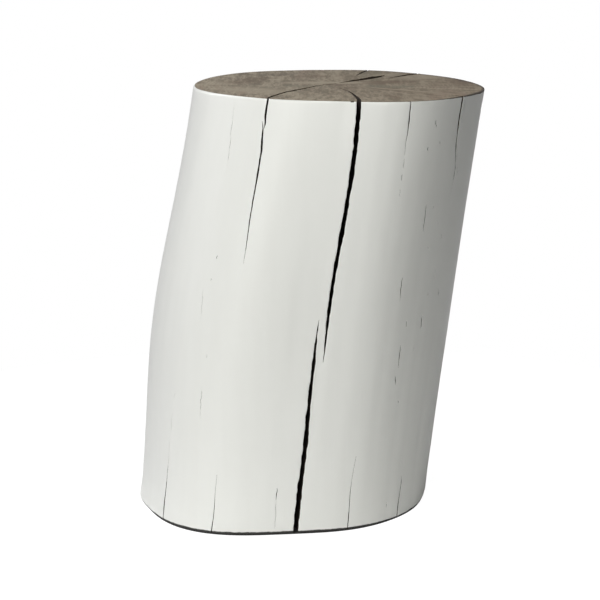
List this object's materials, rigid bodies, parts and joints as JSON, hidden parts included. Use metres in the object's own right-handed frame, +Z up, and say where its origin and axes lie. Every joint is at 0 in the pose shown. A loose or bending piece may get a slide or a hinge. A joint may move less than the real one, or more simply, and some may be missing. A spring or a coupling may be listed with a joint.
{
  "type": "log stool",
  "caption": "Short leaning log stool or side table with flat sawn ends, painted sides, bare end grain and deep drying cracks.",
  "frame": {"origin": "middle of the bounding box on the ground, under the standing log", "axes": "+Z up, the front with the long crack faces -Y, and the log leans towards +X"},
  "size_m": [0.3719, 0.3192, 0.455],
  "materials": {
    "white_painted_wood": "satin white paint on the peeled side, bare grey-brown end grain on both sawn ends and inside the cracks"
  },
  "bodies": {
    "root": {"log": "white_painted_wood"}
  },
  "joints": []
}
